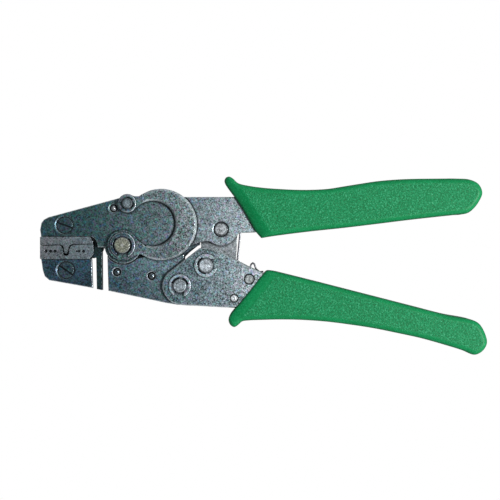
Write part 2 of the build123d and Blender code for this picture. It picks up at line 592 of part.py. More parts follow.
# ================= grips =================
# widest silhouettes, x and y, as points of a closed spline
UPPER_GRIP = [
    (65.3, 4.1), (64.3, 4.6), (62.5, 6.58), (57.9, 14.4), (53.3, 21.6), (48.9, 27.5),
    (47.55, 30.2), (48.3, 32.1), (49.9, 32.6), (51.7, 31.6), (54.3, 29.55), (59.1, 28.2),
    (66.5, 27.2), (74.0, 26.6), (81.7, 26.3), (89.3, 26.3), (96.9, 26.8), (104.5, 27.95),
    (119.6, 30.2), (134.9, 31.4), (150.0, 31.6), (158.0, 31.7), (164.0, 31.4), (168.4, 28.9),
    (169.9, 24.8), (168.1, 20.4), (162.9, 15.3), (150.0, 13.7), (134.9, 12.0), (119.6, 10.1),
    (104.5, 8.3), (89.3, 6.7), (74.0, 4.8), (67.5, 3.95),
]
LOWER_GRIP = [
    (68.5, -12.2), (67.0, -12.7), (60.3, -20.7), (54.05, -28.4), (50.4, -32.8), (49.5, -35.3),
    (50.2, -37.6), (52.3, -38.9), (54.5, -37.6), (56.3, -36.2), (59.1, -35.6), (66.5, -35.3),
    (74.0, -35.2), (83.5, -35.35), (95.4, -36.1), (106.8, -37.5), (118.2, -39.3),
    (129.6, -41.6), (141.0, -44.1), (152.4, -47.3), (160.0, -49.6), (166.4, -52.0),
    (170.3, -50.0), (172.1, -46.3), (171.2, -41.8), (168.9, -37.6), (166.0, -35.8),
    (152.4, -32.8), (137.2, -28.9), (122.0, -25.0), (106.8, -21.1), (91.6, -17.2),
    (76.4, -13.4), (71.5, -12.35),
]
# the moulding is the silhouette shrunk a little about this point
SHRINK_X, SHRINK_Y, SHRINK = 59.8, -2.25, 0.9905


def grip(outline, tang, tang_half):
    """Moulded grip with eased faces and a pocket for the steel tang."""
    points = [
        (SHRINK_X + (x - SHRINK_X) * SHRINK, SHRINK_Y + (y - SHRINK_Y) * SHRINK)
        for x, y in outline
    ]
    base = slab(make_face(Spline(*points, periodic=True)), -GRIP_HALF, GRIP_HALF)
    rims = base.edges().filter_by(
        lambda e: abs(e.bounding_box().max.Z - e.bounding_box().min.Z) < 1e-4
    )
    body = base
    for radius in (1.6, 1.2, 0.8, 0.4):
        # a large fillet may fail in the tight bends: then the next smaller one is taken
        try:
            eased = fillet(rims, radius)
            if eased.is_valid and 0 < eased.volume < base.volume:
                body = eased
                break
        except Exception:
            continue
    pocket_half = tang_half + FIT
    return body - slab(offset(tang, FIT), -pocket_half, pocket_half)


upper_tang = poly(UPPER_OUTLINE) + Pos(*LINK_AT) * Circle(LOBE_R)
save("upper_grip", grip(UPPER_GRIP, upper_tang, UPPER_Z1))
save("lower_grip", grip(LOWER_GRIP, poly(HANDLE_OUTLINE), OUTER_Z1))
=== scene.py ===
"""Locking pliers lying flat: steel plates, pins and springs, with two moulded green grips.

The tool lies in the XY plane, jaws towards -X and grips towards +X. Z is the thickness,
with the resting plane near z = 0. Shapes are in millimetres, and scaled to metres on building.
"""

from collections import namedtuple

import bpy
import numpy as np
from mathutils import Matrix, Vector


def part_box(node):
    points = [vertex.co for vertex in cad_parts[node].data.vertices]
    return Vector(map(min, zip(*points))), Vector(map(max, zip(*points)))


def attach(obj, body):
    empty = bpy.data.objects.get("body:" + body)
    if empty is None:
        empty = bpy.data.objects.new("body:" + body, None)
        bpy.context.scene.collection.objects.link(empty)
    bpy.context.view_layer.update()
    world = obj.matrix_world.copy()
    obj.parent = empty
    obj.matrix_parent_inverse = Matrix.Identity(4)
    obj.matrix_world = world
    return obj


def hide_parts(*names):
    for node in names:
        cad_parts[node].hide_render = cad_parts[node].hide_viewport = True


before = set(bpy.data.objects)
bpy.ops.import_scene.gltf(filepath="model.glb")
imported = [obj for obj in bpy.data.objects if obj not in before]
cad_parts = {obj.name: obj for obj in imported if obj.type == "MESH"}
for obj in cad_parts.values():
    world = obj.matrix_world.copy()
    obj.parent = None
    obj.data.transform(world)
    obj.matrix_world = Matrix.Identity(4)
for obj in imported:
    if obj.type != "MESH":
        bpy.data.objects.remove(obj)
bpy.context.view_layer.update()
scene = bpy.context.scene

MM = 0.001
MID_Z = 9.6                       # mid plane of the tool, mm
VIEW_CENTRE = (59.8, -2.25)       # point under the camera, mm


# ---------------------------------------------------------------- node helpers
def linear(red, green, blue):
    """Display colour 0..255 to linear RGBA."""
    levels = []
    for level in (red, green, blue):
        level = level / 255.0
        levels.append(level / 12.92 if level <= 0.04045 else ((level + 0.055) / 1.055) ** 2.4)
    return (*levels, 1.0)


class Tree:
    """Short calls for building the node tree of a material or world."""

    def __init__(self, owner, output="ShaderNodeOutputMaterial"):
        owner.use_nodes = True
        self.tree = owner.node_tree
        self.tree.nodes.clear()
        self.output = self.node(output)

    def feed(self, socket, value):
        """Link an output socket to an input, or set the input's value."""
        if isinstance(value, bpy.types.NodeSocket):
            self.tree.links.new(value, socket)
        else:
            socket.default_value = value

    def node(self, kind, inputs=None, **settings):
        made = self.tree.nodes.new(kind)
        for key, value in settings.items():
            setattr(made, key, value)
        for key, value in (inputs or {}).items():
            self.feed(made.inputs[key], value)
        return made

    def finish(self, kind, inputs):
        """Make the last shader and link it to the output."""
        self.feed(self.output.inputs[0], self.node(kind, inputs).outputs[0])

    def math(self, operation, first, second=0.0):
        made = self.node("ShaderNodeMath", {0: first, 1: second}, operation=operation)
        return made.outputs[0]

    def times(self, first, second):
        return self.math("MULTIPLY", first, second)

    def plus(self, first, second):
        return self.math("ADD", first, second)

    def vector(self, operation, first, second, output="Vector"):
        made = self.node("ShaderNodeVectorMath", {0: first, 1: second}, operation=operation)
        return made.outputs[output]

    def split(self, vector):
        """The X, Y and Z outputs of a vector."""
        return self.node("ShaderNodeSeparateXYZ", {0: vector}).outputs

    def remap(self, value, across, to=(0.0, 1.0)):
        """Map the range across onto the range to, held at both ends."""
        inputs = {0: value, 1: across[0], 2: across[1], 3: to[0], 4: to[1]}
        return self.node("ShaderNodeMapRange", inputs).outputs[0]

    def mix(self, share, under, over):
        inputs = {0: share, 6: under, 7: over}
        return self.node("ShaderNodeMix", inputs, data_type="RGBA").outputs[2]

    def ramp(self, value, stops):
        """Colour ramp through (position, RGBA) stops."""
        made = self.node("ShaderNodeValToRGB", {0: value})
        elements = made.color_ramp.elements
        while len(elements) < len(stops):
            elements.new(0.5)
        for element, (position, colour) in zip(elements, stops):
            element.position = position
            element.color = colour
        return made.outputs["Color"]

    def surface_inputs(self):
        """Surface normal, and object coordinates in millimetres."""
        normal = self.node("ShaderNodeNewGeometry").outputs["Normal"]
        place = self.node("ShaderNodeTexCoord").outputs["Object"]
        scaled = self.node("ShaderNodeMapping", {"Vector": place, "Scale": (1000, 1000, 1000)})
        return normal, scaled.outputs["Vector"]

    def noise(self, point, scale, detail, roughness, shift, distortion=0.0):
        """Noise moved by shift and turned off the axes, so layers don't line up."""
        moved = self.vector("ADD", point, (shift, shift * 0.7, shift * 1.3))
        turned = self.node("ShaderNodeMapping", {"Vector": moved, "Rotation": (0.53, 0.37, 0.81)})
        inputs = {"Vector": turned.outputs["Vector"], "Scale": scale, "Detail": detail,
                  "Roughness": roughness, "Distortion": distortion}
        return self.node("ShaderNodeTexNoise", inputs).outputs[0]

    def bevel_normal(self, radius):
        return self.node("ShaderNodeBevel", {"Radius": radius * MM}, samples=4).outputs[0]

    def edge_mask(self, radius, across):
        """0 on flats, 1 on edges: how far a rounded normal leans from the true one."""
        normal = self.node("ShaderNodeNewGeometry").outputs["Normal"]
        agreement = self.vector("DOT_PRODUCT", normal, self.bevel_normal(radius), output="Value")
        return self.remap(self.math("SUBTRACT", 1.0, agreement), across=across)

    def band(self, point, centre, inner, outer, plus_x_only=False, soft=0.16):
        """1 between two radii round a vertical axis, with soft borders."""
        flat = self.vector("MULTIPLY", point, (1, 1, 0))
        radius = self.vector("DISTANCE", flat, (*centre, 0), output="Value")
        mask = self.remap(radius, across=(outer - soft, outer + soft), to=(1.0, 0.0))
        if inner > 0:
            mask = self.times(mask, self.remap(radius, across=(inner - soft, inner + soft)))
        if plus_x_only:
            side = (centre[0] - 0.30 * outer, centre[0] + 0.45 * outer)
            mask = self.times(mask, self.remap(self.split(point)["X"], across=side))
        return mask


# ---------------------------------------------------------------- steel
WHITE = (1.0, 1.0, 1.0, 1)

# a ring of painted shade, for shaded gaps and shadows beside edges: centre and radii in mm,
# strength 0..1
ShadeRing = namedtuple("ShadeRing", "centre inner outer strength plus_x_only", defaults=[False])
# a painted highlight on a crown: centre and radius in mm, strength 0..1
Glint = namedtuple("Glint", "centre radius strength")


def steel(name, stops, rough=0.42, metal=0.75, mottle=1.0, grain=1.0, wear_and_highlight_colour=(196, 204, 208),
          turned_about=None, tint=0.20, shade_rings=(), glints=(), hollow_reach=2.4, fall=None):
    """Oxidised plate steel.

    stops: (x in mm, display colour) along X, the steel's own colour with painted light that
    brightens it towards +X; wear: colour of rubbed edges and of the painted highlight on edges and
    chamfers
    mottle, grain, tint: strength of the brightness patches, relief and temper colours
    turned_about: centre of turned rings; hollow_reach: how far the painted shade in hollows
    reaches, mm
    fall: brightness between two heights in Y, as ((y0, y1), (factor0, factor1))
    """
    material = bpy.data.materials.new(name)
    tree = Tree(material)
    normal, point = tree.surface_inputs()
    place = tree.split(point)
    first_x, last_x = stops[0][0], stops[-1][0]
    # painted light: the colour ramp along X is darker at -X and lighter towards +X, where the light
    # comes from
    colour = tree.ramp(
        tree.remap(place["X"], across=(first_x, last_x)),
        [((x - first_x) / (last_x - first_x), linear(*shade)) for x, shade in stops])

    # brightness: broad clouds, centimetre mottling, fine patches and bright specks
    def swing(amount):
        return (-amount * mottle, amount * mottle)

    clouds = tree.noise(point, scale=0.10, detail=3, roughness=0.6, shift=3.1)
    mid = tree.noise(point, scale=0.55, detail=5, roughness=0.65, shift=11.7, distortion=0.4)
    fine = tree.noise(point, scale=1.55, detail=3, roughness=0.75, shift=5.3)
    speck = tree.noise(point, scale=1.9, detail=2, roughness=0.5, shift=21.0)
    bright = tree.plus(tree.remap(clouds, across=(0.3, 0.7), to=swing(0.20)),
                       tree.remap(mid, across=(0.3, 0.7), to=swing(0.36)))
    bright = tree.plus(bright, tree.remap(fine, across=(0.34, 0.66), to=swing(0.98)))
    bright = tree.plus(bright, tree.remap(speck, across=(0.62, 0.78), to=(0.0, 1.6 * mottle)))
    bright = tree.math("MAXIMUM", tree.plus(bright, 1.0), 0.15)
    if fall is not None:
        bright = tree.times(bright, tree.remap(place["Y"], *fall))
    scaled = tree.node("ShaderNodeVectorMath", operation="SCALE")
    tree.feed(scaled.inputs[0], colour)
    tree.feed(scaled.inputs["Scale"], bright)
    colour = scaled.outputs[0]

    # temper colours: violet, green and blue bloom, weaker towards +X
    def bloom(red, green, blue):
        return (1.0 + red * tint, 1.0 + green * tint, 1.0 + blue * tint, 1)

    hue = tree.noise(point, scale=0.80, detail=3, roughness=0.7, shift=41.0)
    blue_hue = tree.noise(point, scale=0.62, detail=3, roughness=0.6, shift=77.0)
    violet = tree.mix(tree.remap(hue, across=(0.52, 0.66)), WHITE, bloom(2.2, -1.5, 1.0))
    violet_green = tree.mix(tree.remap(hue, across=(0.48, 0.34)), violet, bloom(-3.0, 1.6, 0.2))
    blue = tree.mix(tree.remap(blue_hue, across=(0.52, 0.68)), WHITE, bloom(-2.4, -0.4, 2.4))
    fade = tree.remap(place["X"], across=(-10.0, 42.0), to=(1.0, 0.42))
    for patches in (violet_green, blue):
        colour = tree.vector("MULTIPLY", colour, tree.mix(fade, WHITE, patches))

    # bare metal along rubbed edges, and a painted highlight there, broken up by noise and weak on
    # upright walls
    wear_and_highlight = tree.times(tree.edge_mask(radius=0.32, across=(0.03, 0.26)),
                      tree.remap(mid, across=(0.42, 0.62)))
    facing = tree.math("ABSOLUTE", tree.split(normal)["Z"])
    wear_and_highlight = tree.times(wear_and_highlight, tree.remap(facing, across=(0.3, 0.8), to=(0.10, 1.0)))
    # painted highlight: chamfers are painted brighter than flats
    chamfer = tree.times(tree.remap(facing, across=(0.93, 0.84)),
                         tree.remap(facing, across=(0.45, 0.60)))
    chamfer = tree.times(chamfer, tree.remap(fine, across=(0.36, 0.60), to=(0.25, 1.0)))
    wear_and_highlight = tree.math("MAXIMUM", wear_and_highlight, chamfer)
    colour = tree.mix(tree.times(wear_and_highlight, 0.62), colour, linear(*wear_and_highlight_colour))

    # painted shade in the hollows, then rings of painted shade and painted highlights on crowns
    hollow = tree.node("ShaderNodeAmbientOcclusion", {"Distance": hollow_reach * MM}, samples=8)
    hollow_shade = tree.remap(hollow.outputs["AO"], across=(0.50, 0.86), to=(0.92, 0.0))
    colour = tree.mix(hollow_shade, colour, linear(12, 16, 22))
    # painted shade: each ring darkens a gap or the strip beside an edge, in place of its shadow
    for ring in shade_rings:
        broken = tree.remap(fine, across=(0.34, 0.52), to=(0.72, 1.0))
        mask = tree.band(point, ring.centre, ring.inner, ring.outer, ring.plus_x_only)
        share = tree.times(tree.times(mask, ring.strength), broken)
        colour = tree.mix(share, colour, linear(14, 18, 24))
    # painted highlights: a bright spot on each listed crown
    for crown in glints:
        mask = tree.band(point, crown.centre, inner=0, outer=crown.radius, soft=0.35)
        colour = tree.mix(tree.times(mask, crown.strength), colour, linear(214, 218, 220))

    # surface relief
    relief = tree.plus(tree.times(fine, 0.55), tree.times(speck, 0.35))
    if turned_about is not None:
        rings = tree.node("ShaderNodeTexWave", wave_type="RINGS", rings_direction="Z", inputs={
            "Vector": tree.vector("SUBTRACT", point, (*turned_about, 0)),
            "Scale": 1.6, "Distortion": 0.6})
        relief = tree.plus(relief, tree.times(rings.outputs["Fac"], 0.35))
    bump = tree.node("ShaderNodeBump", {
        "Strength": 0.55 * grain, "Distance": 0.10 * MM,
        "Height": relief, "Normal": tree.bevel_normal(radius=0.18)})

    patchy = tree.remap(mid, across=(0.3, 0.7), to=(rough - 0.07, rough + 0.10))
    tree.finish("ShaderNodeBsdfPrincipled", {
        "Base Color": colour,
        "Metallic": metal,
        "Roughness": tree.math("SUBTRACT", patchy, tree.times(wear_and_highlight, 0.12)),
        "Normal": bump.outputs[0]})
    return material


def give(parts, material):
    for part in parts:
        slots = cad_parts[part].data.materials
        slots.clear()
        slots.append(material)


def axis_of(part):
    """Centre of a round part in XY, from its box at rest, in mm."""
    low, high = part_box(part)
    return ((low[0] + high[0]) * 500.0, (low[1] + high[1]) * 500.0)


PIVOT = axis_of("main_pivot_pin")
ANCHOR = axis_of("spring_anchor_pin")
LINK = axis_of("link_pin")
JAW = axis_of("jaw_pin")
TOGGLE = axis_of("toggle_pin")
DISC_CENTRE = (18.04, 9.72)
HOLLOW_CENTRE = (14.1, 10.23)

# Plates and small parts. Rings of painted shade: (centre, inner radius, outer radius, strength, +X
# side only)
give(["upper_plate_front", "upper_plate_rear", "upper_jaw_spacer", "upper_handle_spacer"], steel(
    "steel_frame",
    [(-42, (38, 60, 60)), (-15, (48, 70, 70)), (5, (68, 86, 86)),
     (25, (86, 99, 101)), (45, (113, 122, 126)), (70, (135, 143, 144))],
    # painted shade round the link pin, painted shadow beside the spring plate's outer edge and
    # painted shade in its hollow
    shade_rings=[ShadeRing(LINK, 3.05, 3.75, 0.85),
           ShadeRing(DISC_CENTRE, 16.7, 17.35, 0.80, True),
           ShadeRing(HOLLOW_CENTRE, 9.75, 10.8, 0.72, True)],
    hollow_reach=1.6))
give(["lower_jaw_plate_front", "lower_jaw_plate_rear", "tip_plate_front", "tip_plate_rear"], steel(
    "steel_lower_jaw",
    [(-42, (36, 54, 64)), (-15, (40, 58, 66)), (0, (59, 78, 83)),
     (20, (80, 96, 99)), (40, (96, 110, 113))],
    mottle=1.15, fall=((-22.0, -9.0), (0.74, 1.14))))
give(["spring_plate_front", "spring_plate_rear"], steel(
    "steel_spring_plate",
    [(-8, (72, 88, 90)), (5, (82, 96, 97)), (20, (90, 102, 103)), (36, (114, 124, 124))],
    rough=0.38, mottle=1.3, shade_rings=[ShadeRing(HOLLOW_CENTRE, 10.5, 11.2, 0.55, True)]))
give(["handle_plate_front", "handle_plate_rear", "handle_spacer", "handle_rivets",
      "upper_handle_rivets", "link_washers"], steel(
    "steel_handle_plate",
    [(18, (77, 96, 99)), (35, (86, 100, 103)), (50, (105, 116, 119)), (66, (142, 149, 151))],
    rough=0.4, mottle=1.3,
    shade_rings=[ShadeRing(axis_of("spring_post"), 2.0, 2.6, 0.80),
           ShadeRing(axis_of("pawl_rivet"), 1.6, 2.1, 0.70),
           ShadeRing(TOGGLE, 3.1, 3.6, 0.7),
           ShadeRing(JAW, 3.0, 4.2, 0.6)],
    hollow_reach=1.6))
give(["toggle_link", "ratchet_pawl"], steel(
    "steel_link", [(30, (108, 115, 118)), (56, (122, 127, 129))], mottle=0.7, tint=0.06))
give(["upper_die", "lower_die"], steel(
    "steel_die", [(-40, (94, 98, 101)), (-14, (88, 99, 103))],
    rough=0.46, mottle=0.75, grain=0.9, tint=0.05))
# painted shade: the core lies deep between the plates, and its steel is painted much darker than
# the same steel on them
give(["lower_jaw_core"], steel(
    "steel_core", [(-42, (22, 38, 40)), (-8, (16, 38, 38)), (34, (60, 74, 78))],
    rough=0.5, mottle=1.3, grain=2.2))
# screws: darker colour for their rubbed edges and for the painted highlight on their chamfers
give(["terminal_stop", "stop_pins", "upper_die_screw", "lower_die_screw"], steel(
    "steel_screw", [(-42, (44, 60, 64)), (-10, (52, 68, 72))],
    rough=0.36, mottle=0.9, wear_and_highlight_colour=(84, 98, 102)))

# part: colour, rings of painted shade as (inner radius, outer radius, strength), painted highlights
# as (radius, strength)
PINS = {
    "main_pivot_pin": ((124, 126, 112), [(3.4, 3.9, 0.55)], [(0.7, 0.40)]),
    "spring_anchor_pin": ((104, 116, 122), [(1.75, 2.6, 0.70)], []),
    "link_pin": ((144, 149, 152), [(2.5, 3.3, 0.72)], []),
    "jaw_pin": ((124, 134, 139), [(2.85, 3.3, 0.55)], []),
    "toggle_pin": ((158, 166, 171), [(2.7, 3.4, 0.60)], [(0.6, 0.25)]),
    "spring_post": ((128, 134, 134), [(1.8, 2.4, 0.65)], []),
    "pawl_rivet": ((190, 196, 199), [(1.25, 2.0, 0.70)], []),
    "upper_dowel": ((52, 64, 70), [], [(0.75, 0.55)]),
    "lower_jaw_dowels": ((48, 60, 66), [], []),
}
LOWER_DOWELS_CENTRE = (5, -13.5)      # several dowels share one part, so its box has no axis
PIN_SPAN = 5                          # colour runs this far either side of the axis, mm
PIN_LIFT = 14                         # and gains this much brightness on the way: painted light from +X

for part, (colour, shade_ring_specs, crowns) in PINS.items():
    centre = LOWER_DOWELS_CENTRE if part == "lower_jaw_dowels" else axis_of(part)
    lifted = tuple(level + PIN_LIFT for level in colour)
    give([part], steel(
        "steel_" + part, [(centre[0] - PIN_SPAN, colour), (centre[0] + PIN_SPAN, lifted)],
        rough=0.16 if "dowel" in part else 0.3,
        metal=0.8, mottle=0.8, grain=0.6, tint=0.03, turned_about=centre,
        shade_rings=[ShadeRing(centre, *ring) for ring in shade_ring_specs],
        glints=[Glint(centre, *crown) for crown in crowns]))

# E-rings: rings of painted shade darken the shaded gaps round the pins
give(["main_pivot_e_rings"], steel(
    "steel_ring_main", [(-8, (62, 78, 84)), (2, (80, 96, 102)), (8, (128, 140, 146))],
    rough=0.34, mottle=0.9,
    shade_rings=[ShadeRing(PIVOT, 3.5, 4.25, 0.65), ShadeRing(PIVOT, 4.7, 5.6, 0.35)]))
give(["spring_anchor_e_rings"], steel(
    "steel_ring_anchor", [(-4, (60, 74, 80)), (8, (108, 120, 124))],
    rough=0.34, mottle=0.9, shade_rings=[ShadeRing(ANCHOR, 1.8, 3.0, 0.70)]))
give(["jaw_pin_e_rings", "toggle_e_rings"], steel(
    "steel_ring_handle", [(18, (136, 148, 153)), (46, (154, 163, 168))],
    rough=0.34, mottle=0.8,
    shade_rings=[ShadeRing(JAW, 3.0, 4.2, 0.70), ShadeRing(TOGGLE, 3.0, 3.95, 0.70)]))
give(["return_spring", "pawl_spring"], steel(
    "steel_wire", [(40, (62, 62, 68)), (70, (70, 68, 74))],
    rough=0.38, metal=0.7, mottle=0.3, grain=0.3, tint=0.0))

# ---------------------------------------------------------------- grips
# Closed outlines as (x, y) in mm. The first point of the upper one is a sharp corner.
UPPER_OUTLINE = [
    (65.25, 3.45), (62.51, 6.7), (57.9, 14.6), (53.6, 21.5), (49.0, 27.75), (47.65, 30.2),
    (48.2, 31.9), (49.8, 32.6), (51.6, 31.75), (54.1, 29.5), (59.1, 28.2), (66.5, 27.2),
    (74.0, 26.65), (81.7, 26.3), (89.3, 26.3), (96.9, 26.75), (104.5, 27.95), (112.0, 29.15),
    (119.6, 30.3), (127.2, 31.0), (134.9, 31.4), (150.0, 31.6), (157.6, 31.6), (164.0, 31.1),
    (168.2, 28.9), (169.9, 24.8), (168.2, 20.6), (165.6, 17.2), (162.6, 15.1), (158.0, 14.6),
    (150.0, 13.75), (134.9, 12.05), (119.6, 10.15), (104.5, 8.35), (89.3, 6.75), (74.0, 4.85),
    (68.0, 3.95),
]
LOWER_OUTLINE = [
    (69.0, -11.95), (67.9, -12.0), (66.4, -13.2), (60.3, -20.9), (54.05, -28.5),
    (50.5, -32.8), (49.6, -35.1), (50.3, -37.5), (52.3, -38.8), (54.5, -37.5), (56.1, -36.1),
    (59.1, -35.65), (66.5, -35.35), (74.0, -35.2), (83.5, -35.35), (95.4, -36.15),
    (106.8, -37.55), (118.2, -39.3), (129.6, -41.6), (141.0, -44.1), (152.4, -47.3),
    (160.0, -49.65), (166.3, -51.9), (170.2, -49.9), (172.1, -46.3), (171.2, -41.9),
    (168.7, -37.5), (165.8, -35.6), (152.4, -32.85), (137.2, -28.95), (122.0, -25.05),
    (106.8, -21.15), (91.6, -17.25), (76.4, -13.45), (71.6, -12.3),
]
# Two points of the straight edge at the jaw end, ordered so the grip is on the right.
UPPER_EDGE = ((65.25, 3.45), (49.0, 27.75))
LOWER_EDGE = ((50.5, -32.8), (66.7, -13.0))

OUTLINE_SCALE = 0.9905    # shrinks the outlines about VIEW_CENTRE
CURVE_STEP = 0.35         # spacing of points along the outline
HALF = 9.55               # half thickness of the moulding
RIM_RADIUS = 2.6          # rounding of the rim
EDGE_RUN = 4.6            # the moulding thickens over this distance from the straight edge
CREASE_AT = 4.4           # distance of the crease from the straight edge
SINK = 0.16               # depth of the crease and of the panel
TABLE_STEP = 0.35         # spacing of the table of depths
TABLE_MARGIN = 3.0
VOXEL = 0.62              # spacing of the volume the surface is drawn from
VOXEL_MARGIN = 1.6


def smooth_outline(points, corners=()):
    """Closed centripetal Catmull-Rom curve as a dense polygon; corners lists sharp points."""
    centre = np.array(VIEW_CENTRE)
    points = centre + (np.array(points) - centre) * OUTLINE_SCALE
    count = len(points)
    pieces = []
    for i in range(count):
        before, start, end, after = (points[(i + k) % count] for k in (-1, 0, 1, 2))
        if i in corners:
            before = start - (end - start)
        if (i + 1) % count in corners:
            after = end + (end - start)
        steps = max(2, int(np.linalg.norm(end - start) / CURVE_STEP))
        t = np.arange(steps)[:, None] / steps
        knot_a, knot_b, knot_c = (
            max(1e-6, np.linalg.norm(q - p)) ** 0.5
            for p, q in ((before, start), (start, end), (end, after)))
        leave = ((start - before) / knot_a - (end - before) / (knot_a + knot_b)
                 + (end - start) / knot_b) * knot_b
        arrive = ((end - start) / knot_b - (after - start) / (knot_b + knot_c)
                  + (after - end) / knot_c) * knot_b
        pieces.append((2 * t ** 3 - 3 * t ** 2 + 1) * start + (t ** 3 - 2 * t ** 2 + t) * leave
                      + (-2 * t ** 3 + 3 * t ** 2) * end + (t ** 3 - t ** 2) * arrive)
    return np.vstack(pieces)


def outline_depth(polygon, xy):
    """Signed distance to the polygon, positive inside, worked out in batches."""
    a, b = polygon, np.roll(polygon, -1, axis=0)
    side = b - a
    rise = np.where(b[:, 1] == a[:, 1], 1e-9, b[:, 1] - a[:, 1])
    result = np.empty(len(xy))
    batch = 4000
    for first in range(0, len(xy), batch):
        p = xy[first:first + batch][:, None, :]
        t = np.clip(((p - a) * side).sum(-1) / (side ** 2).sum(-1), 0, 1)
        distance = np.sqrt((((a + t[..., None] * side) - p) ** 2).sum(-1)).min(1)
        x, y = p[:, :, 0], p[:, :, 1]
        crossed = (((a[:, 1] > y) != (b[:, 1] > y))
                   & (x < (b[:, 0] - a[:, 0]) * (y - a[:, 1]) / rise + a[:, 0]))
        inside = crossed.sum(1) % 2 == 1
        result[first:first + batch] = np.where(inside, distance, -distance)
    return result


def smoothstep(low, high, x):
    t = np.clip((x - low) / (high - low), 0, 1)
    return t * t * (3 - 2 * t)


def rounded_slab(depth, z, half, radius):
    """How far a point lies inside a slab with a rounded rim."""
    across = radius - depth
    up = np.abs(z) - (half - radius)
    corner = np.sqrt(np.maximum(across, 0) ** 2 + np.maximum(up, 0) ** 2)
    return -(np.minimum(np.maximum(across, up), 0) + corner - radius)


class GripShape:
    """Rounded slab, thinner at the straight edge, with a crease and a slightly sunk panel.

    edge_half is the half thickness at the straight edge.
    """

    def __init__(self, outline, edge, edge_half):
        self.outline = outline
        self.edge_half = edge_half
        self.edge_start, edge_end = np.array(edge, float)
        run = edge_end - self.edge_start
        self.along = run / np.linalg.norm(run)
        self.origin = outline.min(0) - TABLE_MARGIN
        span = outline.max(0) + TABLE_MARGIN - self.origin
        self.count = np.ceil(span / TABLE_STEP).astype(int) + 1
        x, y = np.meshgrid(*(self.origin[k] + TABLE_STEP * np.arange(self.count[k])
                             for k in (0, 1)), indexing="ij")
        self.table = outline_depth(outline, np.stack([x.ravel(), y.ravel()], 1)).reshape(x.shape)

    def depth(self, xy):
        """Depth inside the outline, read from the table between its points."""
        place = np.clip((xy - self.origin) / TABLE_STEP, 0, self.count - 1.001)
        i, j = place.astype(int).T
        u, v = (place - place.astype(int)).T
        table = self.table
        return ((table[i, j] * (1 - u) + table[i + 1, j] * u) * (1 - v)
                + (table[i, j + 1] * (1 - u) + table[i + 1, j + 1] * u) * v)

    def from_edge(self, x, y):
        """Distance behind the straight edge, growing into the grip."""
        return self.along[1] * (x - self.edge_start[0]) - self.along[0] * (y - self.edge_start[1])

    def section(self, from_edge):
        """Half thickness and rim radius."""
        rise = np.clip(from_edge / EDGE_RUN, 0.0, 1.0)
        half = self.edge_half + (HALF - self.edge_half) * rise ** 0.8
        return half, RIM_RADIUS * (0.35 + 0.65 * rise)

    def panel(self, depth, from_edge):
        """1 on the grained panel, 0 on the smooth border."""
        return smoothstep(1.5, 2.9, depth) * smoothstep(4.4, 5.6, from_edge)

    def inside(self, p):
        """The full shape with its details, positive inside."""
        depth = self.depth(p[:, :2])
        from_edge = self.from_edge(p[:, 0], p[:, 1])
        half, radius = self.section(from_edge)
        crease = np.exp(-((from_edge - CREASE_AT) / 0.9) ** 2) * smoothstep(1.0, 2.4, depth)
        half = half - SINK * crease - SINK * self.panel(depth, from_edge)
        # a shallow parting line round the rim: 0.14 deep, 0.6 wide
        parting = 0.14 * np.exp(-(p[:, 2] / 0.6) ** 2) * (depth < 1.5)
        return rounded_slab(depth, p[:, 2], half, radius) - parting

    def volume(self):
        """The plain slab on a regular grid, with the grid's origin."""
        low, high = self.outline.min(0) - VOXEL_MARGIN, self.outline.max(0) + VOXEL_MARGIN
        xs = np.arange(low[0], high[0] + VOXEL, VOXEL)
        ys = np.arange(low[1], high[1] + VOXEL, VOXEL)
        zs = np.arange(-HALF - 1.55, HALF + 1.6, VOXEL)
        x, y = np.meshgrid(xs, ys, indexing="ij")
        depth = self.depth(np.stack([x.ravel(), y.ravel()], 1)).reshape(x.shape)
        half, radius = self.section(self.from_edge(x, y))
        slab = rounded_slab(depth[:, :, None], zs, half[:, :, None], radius[:, :, None])
        return slab, np.array([xs[0], ys[0], zs[0]])

    def settle(self, p):
        """Move points onto the full shape in four Newton steps of at most 0.4."""
        probe = 0.02
        for _ in range(4):
            value = self.inside(p)
            slope = np.stack([(self.inside(p + np.eye(3)[k] * probe) - value) / probe
                              for k in range(3)], 1)
            move = -(value / np.maximum((slope ** 2).sum(1), 0.05))[:, None] * slope
            length = np.linalg.norm(move, axis=1)[:, None]
            p = p + move * np.minimum(1, 0.4 / np.maximum(length, 1e-9))
        return p


def edge_ends(volume, axis):
    """Values at the low and high end of every grid edge along an axis."""
    count = volume.shape[axis]
    return volume.take(range(count - 1), axis), volume.take(range(1, count), axis)


